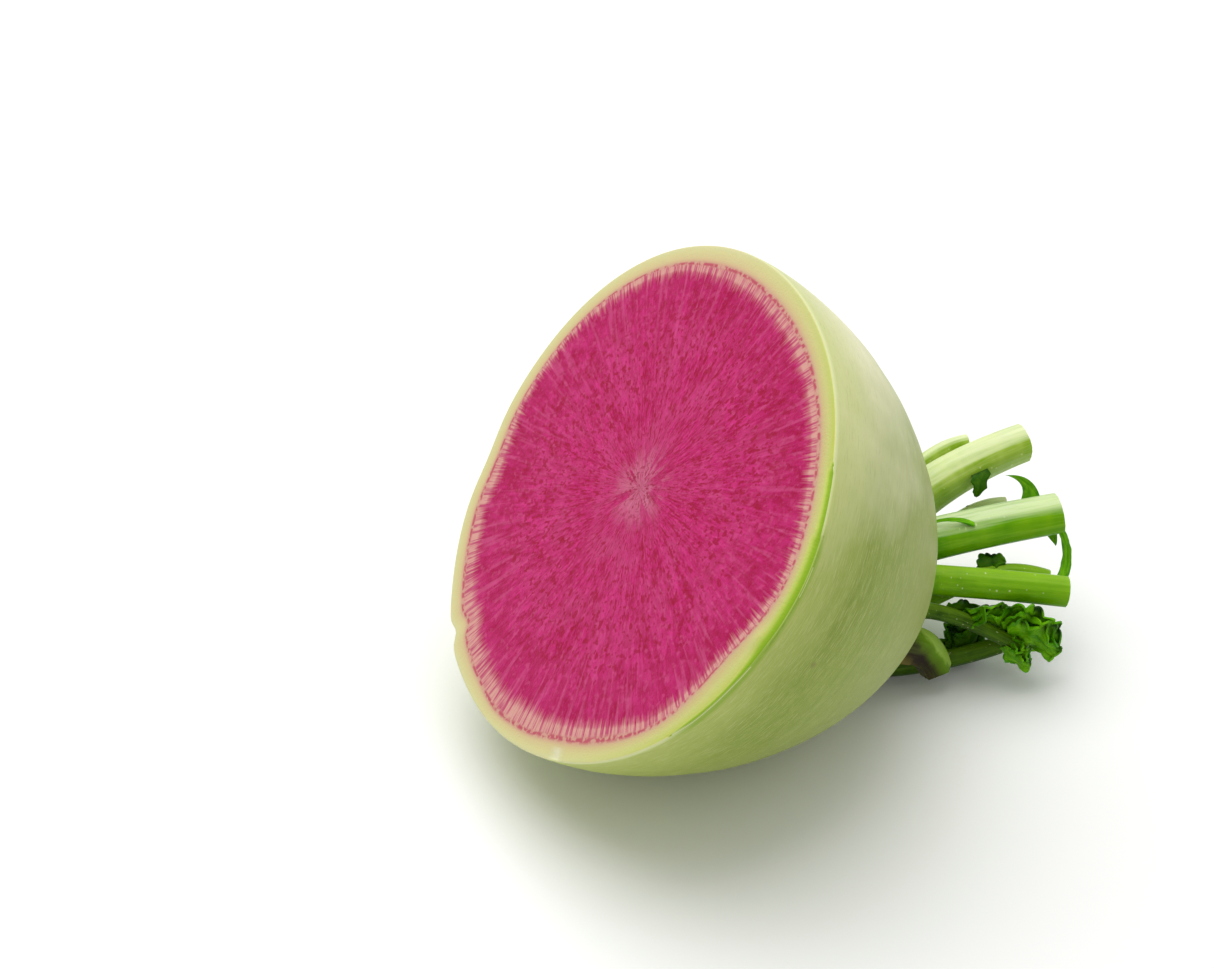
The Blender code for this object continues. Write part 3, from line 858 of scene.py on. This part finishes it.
STALK_MIDDLE = 0.45


def stalk_size(stalk, t):
    """Width and depth of a stalk at t, in mm: a smooth swell above the foot, then an even taper."""
    if t < STALK_MIDDLE:
        share = rise(t, 0, STALK_MIDDLE)
        return [foot + (mid - foot) * share for foot, mid in zip(stalk.foot_size, stalk.middle_size)]
    share = (t - STALK_MIDDLE) / (1 - STALK_MIDDLE)
    return [mid + (tip - mid) * share for mid, tip in zip(stalk.middle_size, stalk.tip_size)]


def stalk_path(stalk):
    """A stalk's centre line: up from the crown along the axis, then off toward its tip."""
    angle, radius = math.radians(stalk.foot[0]), stalk.foot[1] * MM
    foot = round_axis(angle, radius, (CROWN_HEIGHT + GAP) * MM)
    spread, lift = stalk.rise
    leaving = foot + round_axis(angle, spread * MM, lift * MM)
    return foot, leaving, place(*stalk.bend), place(*stalk.tip)


def bezier(points, t):
    """The place and the direction at t on a curve with four control points."""
    a, b, c, d = points
    s = 1 - t
    spot = a * s**3 + b * (3 * s * s * t) + c * (3 * s * t * t) + d * t**3
    heading = (b - a) * (s * s) + (c - b) * (2 * s * t) + (d - c) * (t * t)
    return spot, heading.normalized()


def stalk_frame(path, t):
    """Place, inner side, width direction and heading of a stalk at t."""
    foot, _, bend, tip = path
    spot, heading = bezier(path, t)
    outward = Vector((foot.x, foot.y, 0)).normalized()
    leaning_out = max(0.0, (tip - bend).normalized().dot(outward))
    inner = Vector((0, 0, leaning_out)) - outward
    inner = (inner - heading * inner.dot(heading)).normalized()
    return spot, inner, heading.cross(inner), heading


print(len(STALKS), "stalks")

# %% A straight rod by extrude and inset
CUT_INSETS = (0.06, 0.1, 0.2, 0.24)


def straight_rod(name, length_mm):
    """A rod of radius 1 mm along Z, in even rings, with a slightly hollow cut end."""
    bpy.ops.object.select_all(action="DESELECT")
    bpy.ops.mesh.primitive_circle_add(vertices=STALK_SIDES, radius=MM, fill_type="NGON")
    rod = bpy.context.object
    rod.name = rod.data.name = name
    bpy.ops.object.mode_set(mode="EDIT")
    bpy.ops.mesh.select_all(action="SELECT")
    step = Vector((0, 0, length_mm * MM / STALK_RINGS))
    for _ in range(STALK_RINGS):
        bpy.ops.mesh.extrude_region_move(TRANSFORM_OT_translate={"value": step})
    for inset in CUT_INSETS:
        bpy.ops.mesh.inset(thickness=inset * MM, depth=0)
    bpy.ops.mesh.poke()
    bpy.ops.mesh.select_all(action="SELECT")
    bpy.ops.mesh.normals_make_consistent(inside=False)
    bpy.ops.object.mode_set(mode="OBJECT")
    return rod


def keep_grain(obj):
    """Keeps every vertex's straight place, in mm, for the materials to read."""
    made = obj.data.attributes.new("grain", "FLOAT_VECTOR", "POINT")
    for item, vertex in zip(made.data, obj.data.vertices):
        item.vector = vertex.co / MM


# %% Lay a rod along its stalk's curve
FLAT_SIDES = 5
FIRST_EDGE = 0.3
LENGTH_STEPS = 50
RIBS = 14
RIB_DEPTH = 0.012
FINE_RIBS = 23
FINE_RIB_DEPTH = 0.006
FLARE = 0.10
HOLLOW_DEPTH = 0.35
ROOTED_DEPTH = 1.0


def flat_sides(turn):
    """How far a rod with flat sides reaches at a turn, as a share of the round one."""
    half = math.pi / FLAT_SIDES
    return math.cos(half) / math.cos((turn - FIRST_EDGE) % (2 * half) - half)


def make_stalk(stalk):
    """A leaf stalk laid along its curve, from just inside the crown to its cut end."""
    path = stalk_path(stalk)
    spots = [bezier(path, step / LENGTH_STEPS)[0] for step in range(LENGTH_STEPS + 1)]
    length = sum((after - before).length for before, after in zip(spots, spots[1:])) / MM
    rod = straight_rod(stalk.name + "_rod", length)
    keep_grain(rod)
    seed = stalk.foot[0] * 0.1
    for vertex in rod.data.vertices:
        x, y, z = vertex.co / MM
        t = min(1.0, z / length)
        spot, inner, across, heading = stalk_frame(path, t)
        width, depth = stalk_size(stalk, t)
        reach = math.hypot(x, y)
        turn = math.atan2(y, x)
        ribs = 1 - RIB_DEPTH * (1 + math.cos(turn * RIBS + seed))
        ribs -= FINE_RIB_DEPTH * (1 + math.cos(turn * FINE_RIBS + 2 * seed))
        if stalk.name == "stalk_bruised":
            ribs *= flat_sides(turn)
        full = ribs * (1 + FLARE * bell(t, 0, 0.10))
        sunk = 1 - GROOVE * max(0.0, math.sin(turn))
        hollow = -HOLLOW_DEPTH * (1 - reach) * rise(t, 0.98, 1)
        lift = -ROOTED_DEPTH * (1 - rise(t, 0, 0.06))
        point = across * (width / 2 * x * full) + inner * (depth / 2 * y * sunk * full)
        point += heading * hollow + Vector((0, 0, 1)) * lift
        vertex.co = spot + point * MM
    return rod


# %% [markdown]
# ## Scraps of leaf
#
# Where the leaves were cut off, scraps of blade stay on the stalks: a hooked horn, a hanging strip,
# small curls and a few ruffled leaves with round lobes. Each is a fine grid that follows a curved
# line. Its edge is cut by a rule, it waves more and more toward the edge as a leaf does, and Solidify
# gives it its thickness. A big curly leaf has three such layers, each a little smaller than the last.
# The hollows between its ruffles are noted as `hollow`, and shade is painted into its finish there; each
# kind of scrap gets its own share of painted shade all over, and a frill that stands behind the others gets
# more.
#
# The table gives each scrap's edge rule and width, three points of its middle line, the direction
# across it, how high it ruffles, and how many waves run along it.

# %% The scraps and their outlines
Blade = namedtuple("Blade", "edge width start middle end across ruffle waves", defaults=(0.0, 0))
SCRAPS = {
    "stalk_top": (
        Blade("tongue", 4.4, (29.2, -10.2, 68.6), (27.6, -6.4, 68.9), (24.8, -6.8, 69.7), (5, 0, 4), 0.2, 1),
    ),
    "stalk_upper": (
        Blade("horn", 4.2, (29.6, -1.0, 76.0), (33.6, -3.4, 74.9), (31.2, -5.2, 70.8), (15, 4, 15)),
        Blade("horn", 2.8, (28.6, 3.0, 79.0), (26.8, 4.0, 81.8), (26.4, 4.6, 81.8), (1, 2, 3)),
        Blade("strip", 1.9, (30.2, 3.6, 79.0), (27.4, 5.2, 85.6), (22.4, 7.6, 85.0), (0, 3, 5), 0.2, 1.5),
        Blade("strip", 0.9, (17.6, -2.0, 59.6), (21.6, -0.6, 61.6), (22.2, 1.2, 65.6), (0, 1, 1)),
    ),
    "stalk_upper_rear": (
        Blade("tongue", 1.8, (20.6, -10.4, 74.0), (22.8, -10.0, 74.1), (23.2, -9.0, 76.1), (1, 2, 1)),
    ),
    "stalk_middle_rear": (
        Blade("frill", 5.0, (14.6, 4.8, 72.4), (18.4, 2.8, 70.6), (19.4, 5.0, 73.8), (-1, 2, 1), 0.6, 1.5),
        Blade("tongue", 1.6, (19.0, 7.0, 77.6), (20.6, 6.8, 76.8), (21.2, 7.0, 78.0), (-1, 2, 1)),
    ),
    "stalk_low": (
        Blade("frill", 7.6, (9.0, 11.6, 67.4), (12.4, 11.4, 69.4), (12.0, 12.6, 76.0), (3, 2, 2), 0.7, 2),
        Blade("frill", 14.6, (10.6, 13.8, 74.0), (14.6, 14.4, 75.8), (12.8, 18.6, 83.6), (4, 2, -2), 0.9, 3),
        Blade("frill", 6.0, (9.6, 14.8, 75.4), (8.0, 16.6, 77.8), (8.6, 17.6, 81.0), (3, 2, -2), 0.7, 2),
        Blade("frill", 4.4, (8.6, 9.7, 64.0), (9.0, 8.4, 69.0), (12.6, 8.2, 79.4), (3, 0, -1), 0.4, 1.5),
    ),
    "stalk_under": (
        Blade("tongue", 2.6, (0.8, 9.0, 74.0), (-0.2, 8.6, 72.6), (1.2, 8.0, 71.0), (1, 1, 2), 0.2, 1),
        Blade("frill", 3.4, (6.0, 10.2, 77.8), (7.2, 11.2, 81.2), (6.8, 11.6, 84.2), (2, 1, 0), 0.4, 1.5),
        Blade("frill", 12.0, (-0.6, 7.4, 75.6), (2.6, 6.0, 76.4), (8.8, 5.2, 78.2), (1, 0, 4), 0.5, 1.5),
    ),
    "stalk_far": (
        Blade("frill", 6.0, (0.0, -12.6, 75.6), (1.4, -15.4, 77.2), (4.2, -16.6, 80.8), (1, 0, 2), 0.6, 2),
    ),
}
LEAF_THICKNESS = 0.34


def edge_half_width(edge, s, side):
    """Half-width of a scrap, as a share of its full one, at s along it and on one side of its middle."""
    if edge == "horn":
        return 1 - s**0.8
    if edge == "strip":
        ragged = 0.16 * noise.noise(Vector((s * 9, side * 5, 0.3))) if s > 0.25 else 0.0
        return 0.5 + 0.6 * s + ragged
    if edge == "tongue":
        return math.sqrt(max(0.0, 1 - s**1.6)) * (1 - 0.3 * abs(math.sin(2.6 * math.pi * s + side)))
    lobes = 0.84 + 0.16 * math.cos(5 * math.pi * s + 1.3 * side)
    scallops = 1 - 0.2 * (1 - abs(math.sin(8 * math.pi * s + side)))
    return math.sqrt(max(0.0, math.sin(math.pi * (0.14 + 0.86 * s)))) * lobes * scallops


print(sum(len(scraps) for scraps in SCRAPS.values()), "scraps of leaf")

# %% One layer of a scrap
# Painted shade that each kind of scrap gets all over, and how much more a frill behind the others gets.
SCRAP_SHADE = {"tongue": 0.75, "horn": 0.3, "strip": 0.0, "frill": 0.22}
BEHIND = 9  # mm: a frill whose middle lies less near than this stands behind the others
BEHIND_SHADE = 0.42
FRONT = place(0.5, 1, -0.6).normalized()
CELLS_PER_MM = 5
LAYER_SHRINK = 0.2
LAYER_GAP = 0.9  # mm


def make_blade(blade, number, layer, layers):
    """One layer of a scrap of leaf, along its curved middle line."""
    start, middle, end = (place(*spot) for spot in (blade.start, blade.middle, blade.end))
    across = place(*blade.across).normalized()
    cells = max(10, round(blade.width * CELLS_PER_MM))
    bpy.ops.object.select_all(action="DESELECT")
    bpy.ops.mesh.primitive_grid_add(x_subdivisions=2 * cells, y_subdivisions=cells, size=2 * MM)
    sheet = bpy.context.object
    keep_grain(sheet)
    curly = blade.edge == "frill"
    scrap_shade = SCRAP_SHADE[blade.edge]
    if curly and blade.middle[1] < BEHIND:
        scrap_shade += BEHIND_SHADE
    half_width = (1 - LAYER_SHRINK * layer) * blade.width * MM / 2
    hollow = []
    for vertex in sheet.data.vertices:
        s = min(1.0, max(0.0, (vertex.co.x / MM + 1) / 2))
        side = vertex.co.y / MM
        t = min(1.0, 0.06 * layer + s * (1 - 0.04 * layer))
        spot = start * (1 - t) ** 2 + middle * (2 * t * (1 - t)) + end * t**2
        heading = ((middle - start) * (1 - t) + (end - middle) * t).normalized()
        sideways = (across - heading * across.dot(heading)).normalized()
        facing = heading.cross(sideways)
        if facing.dot(FRONT) < 0:
            facing = -facing
        share = max(0.02, edge_half_width(blade.edge, s, math.copysign(1, side) + 0.9 * layer))
        turns = blade.waves * s + 0.3 * side + 0.37 * layer
        wave = math.sin(2 * math.pi * turns) * side * side * blade.ruffle
        if curly:
            grow = blade.width * 0.5
            lumps = noise.noise(Vector((s * grow * 0.9, side * grow * 0.45, number + 3 * layer)))
            crinkle = noise.noise(Vector((s * grow * 2.2, side * grow * 1.2, number + 7 * layer)))
            wave += (0.9 * lumps + 0.12 * crinkle) * (0.4 + 0.6 * side * side)
        wave *= min(1, 3 * s)
        # Painted shade: each scrap's own share, more in the hollows of its waves and less on their crests.
        shade = scrap_shade + 0.75 * rise(-wave, 0.0, 0.8) - 0.3 * rise(wave, 0.0, 0.8)
        hollow.append(min(1.0, max(0.0, shade)))
        vertex.co = spot + sideways * (side * share * half_width)
        vertex.co += facing * ((wave + LAYER_GAP * (layer - (layers - 1) / 2)) * MM)
    note(sheet, "hollow", hollow)
    solid = sheet.modifiers.new("thickness", "SOLIDIFY")
    solid.thickness = LEAF_THICKNESS * MM
    solid.offset = 0
    bpy.ops.object.modifier_apply(modifier="thickness")
    return sheet


# %% [markdown]
# ## The stalks' and leaves' finishes
#
# Stalk skin is green under fine pale lines that run lengthwise, with a painted highlight where it
# faces up and painted shade below. One recipe gives all the sound stalks their finishes, each from
# its own four greens. The bruised stalk has its own: its colours lie in bands beside a light ridge,
# with painted shade past it. Leaf is a deeper green with a soft gloss and painted shade in its
# hollows. All read `grain`, and leaf reads `hollow` too.

# %% The sound stalks
LEAFY_GLOSS = 0.1


def stalk_finish(name, top_highlight_colour, light, green, deep_green_and_shade, top_highlight_share, top_highlight_from=0.62):
    """Green under fine lengthwise lines, with a painted highlight along its upper side and painted shade
    below.
    """
    material, tree, shader = new_material(name)
    grain = tree.attribute("grain", "Vector")
    lines = tree.noise(tree.stretch(grain, (4.0, 4.0, 0.10)), 1.0, 3, 0.55)
    fine_lines = tree.noise(tree.stretch(grain, (13.0, 13.0, 0.30)), 1.0, 2, 0.5)
    cloud = tree.noise(grain, 0.22, 3)
    colour = tree.mix(tree.span(cloud, 0.38, 0.62), screen(*green), screen(*deep_green_and_shade))
    normal = tree.node("ShaderNodeNewGeometry", {}, "Normal")
    up = tree.node("ShaderNodeSeparateXYZ", {0: normal}, "Z")
    # Painted highlight: the colour turns toward a pale green where the surface faces up.
    sunny = tree.add(up, tree.times(tree.add(lines, -0.5), 0.5))
    colour = tree.mix(tree.span(sunny, top_highlight_from, top_highlight_from + 0.4, 0.0, top_highlight_share), colour, screen(*top_highlight_colour))
    colour = tree.mix(tree.span(lines, 0.46, 0.68, 0.0, 0.35), colour, screen(*light))
    colour = tree.mix(tree.span(fine_lines, 0.52, 0.66, 0.0, 0.25), colour, screen(*light))
    # Painted shade: the colour turns toward the deep green where the surface faces down.
    shade = tree.span(up, 0.25, -0.5, 0.0, 0.75)
    colour = tree.mix(shade, colour, screen(*deep_green_and_shade))
    drawn = tree.stretch(grain, (2.6, 2.6, 1.5))
    small_flecks = speckles(tree, drawn, 0.9, 0.2, 0.3)
    flecks = tree.math("MAXIMUM", small_flecks, speckles(tree, drawn, 0.5, 0.12, 0.3))
    colour = tree.mix(tree.times(flecks, 0.5), colour, screen(232, 236, 184))
    connect(tree, colour, shader["Base Color"])
    connect(tree, tree.span(lines, 0.3, 0.7, 0.26, 0.4), shader["Roughness"])
    bumped(tree, shader, tree.add(lines, tree.times(fine_lines, 0.5)), 0.25, 0.2)
    gloss(shader, LEAFY_GLOSS)
    juicy(shader, 0.12, (2, 3, 1), 0.5)
    print(name + ":", len(material.node_tree.nodes), "nodes")
    return material


# Each row of greens: the painted highlight on top, the pale lines, the green, and a deep green that gives
# both darker patches and the painted shade below.
PALE_GREENS = ((232, 238, 196), (210, 224, 138), (194, 216, 104), (146, 182, 46))
FRESH_GREENS = ((236, 244, 204), (150, 194, 54), (124, 174, 6), (88, 150, 0))
MIDDLE_GREENS = ((166, 204, 64), (142, 190, 38), (118, 172, 8), (96, 152, 0))
DARK_GREENS = ((120, 156, 36), (104, 140, 24), (74, 110, 4), (42, 74, 0))
# The number after the greens is how strong the painted highlight on top is.
pale_stalk = stalk_finish("pale_stalk", *PALE_GREENS, 0.95)
green_stalk = stalk_finish("green_stalk", *FRESH_GREENS, 1.0, 0.7)
middle_stalk = stalk_finish("middle_stalk", *MIDDLE_GREENS, 0.45)
dark_stalk = stalk_finish("dark_stalk", *DARK_GREENS, 0.5)

# %% The bruised stalk: a light ridge between flat sides, a purple black patch below it, then brown, and painted shade past the ridge
RIDGE_SLOPE = (0.943, 0.333)  # how far past the ridge a place lies, for each mm up and along
bruised_stalk, tree, shader = new_material("bruised_stalk")
grain = tree.attribute("grain", "Vector")
lines = tree.noise(tree.stretch(grain, (3.0, 3.0, 0.12)), 1.0, 3, 0.55)
cloud = tree.noise(grain, 0.5, 4, 0.6)
down, _, along = tree.split(standing(tree))
past_ridge = tree.add(tree.times(down, -RIDGE_SLOPE[0]), tree.times(along, RIDGE_SLOPE[1]))
past_ridge = tree.add(past_ridge, tree.times(tree.add(cloud, -0.5), 2.0))
# Colours in bands by how far past the ridge a place lies; the dark green at the far end is painted shade.
ridge_bands_and_shade = tree.ramp(
    tree.span(past_ridge, 16.1, 27.1),
    [
        (0.0, screen(120, 108, 56)),
        (0.25, screen(92, 84, 34)),
        (0.42, screen(62, 66, 20)),
        (0.58, screen(88, 120, 18)),
        (0.66, screen(100, 140, 22)),
        (0.71, screen(156, 190, 74)),
        (0.79, screen(140, 178, 56)),
        (0.85, screen(92, 132, 18)),
        (1.0, screen(50, 80, 12)),
    ],
)
patch = tree.times(tree.span(past_ridge, 22.2, 21.0), tree.span(past_ridge, 18.2, 19.6))
patch = tree.times(patch, tree.span(tree.add(along, tree.times(cloud, 8)), 76, 71))
colour = tree.mix(tree.times(patch, 0.9), ridge_bands_and_shade, screen(40, 26, 24))
colour = tree.mix(tree.span(lines, 0.5, 0.7, 0.0, 0.3), colour, screen(112, 134, 50))
connect(tree, colour, shader["Base Color"])
connect(tree, tree.span(lines, 0.3, 0.7, 0.3, 0.45), shader["Roughness"])
bumped(tree, shader, tree.add(lines, cloud), 0.3, 0.2)
gloss(shader, LEAFY_GLOSS)
print("bruised stalk:", len(bruised_stalk.node_tree.nodes), "nodes")

# %% Leaf
leaf_finish, tree, shader = new_material("leaf")
grain = tree.attribute("grain", "Vector")
cloud = tree.noise(grain, 1.6, 3)
colour = tree.mix(tree.span(cloud, 0.35, 0.65), screen(72, 146, 0), screen(124, 190, 16))
# Painted shade: where `hollow` is high, the leaf turns near black green.
colour = tree.mix(tree.attribute("hollow"), colour, screen(14, 48, 0))
connect(tree, colour, shader["Base Color"])
connect(tree, tree.span(cloud, 0.3, 0.7, 0.3, 0.46), shader["Roughness"])
bumped(tree, shader, cloud, 0.4, 0.3)
gloss(shader, LEAFY_GLOSS)
juicy(shader, 0.1, (1, 2, 0.5), 0.5)
print("leaf:", len(leaf_finish.node_tree.nodes), "nodes")

# %% Build every stalk, join its scraps to it and put it in its place
FINISHES = {
    "stalk_top": (pale_stalk, "stalk_pale"),
    "stalk_top_rear": (pale_stalk, "stalk_pale"),
    "stalk_upper": (green_stalk, "stalk_green"),
    "stalk_upper_rear": (pale_stalk, "stalk_pale"),
    "stalk_middle": (middle_stalk, "stalk_green"),
    "stalk_middle_rear": (middle_stalk, "stalk_green"),
    "stalk_low": (dark_stalk, "leaf_green"),
    "stalk_bruised": (bruised_stalk, "stalk_bruised"),
    "stalk_under": (dark_stalk, "leaf_green"),
    "stalk_far": (dark_stalk, "leaf_green"),
}
STALK_CREASE = 50
BIG_LEAF = 5.5
scrap_number = 0
for stalk in STALKS:
    finish, slot = FINISHES[stalk.name]
    rod = make_stalk(stalk)
    rod.data.materials.append(finish)
    scraps = []
    for blade in SCRAPS.get(stalk.name, ()):
        layers = 3 if blade.edge == "frill" and blade.width > BIG_LEAF else 1
        scraps += [make_blade(blade, scrap_number, layer, layers) for layer in range(layers)]
        scrap_number += 1
    bpy.ops.object.select_all(action="DESELECT")
    for scrap in scraps:
        scrap.data.materials.append(leaf_finish)
        scrap.select_set(True)
    rod.select_set(True)
    bpy.context.view_layer.objects.active = rod
    if scraps:
        bpy.ops.object.join()
    lay_down(rod)
    smooth(rod, STALK_CREASE)
    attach(rod, "root")
    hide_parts(stalk.name)
    print(rod.name, len(rod.data.polygons), "faces")

# %% [markdown]
# ## Last look at the size
#
# Both boxes, the plain radish's and the dressed one's, are printed. The dressed radish
# may not be bigger than the plain one.

# %% Write both boxes and finish
visual_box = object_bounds()
sizes = {"cad": [list(corner) for corner in cad_box], "visual": [list(corner) for corner in visual_box]}
for label, box in sizes.items():
    print(label, [[round(value / MM, 2) for value in corner] for corner in box])
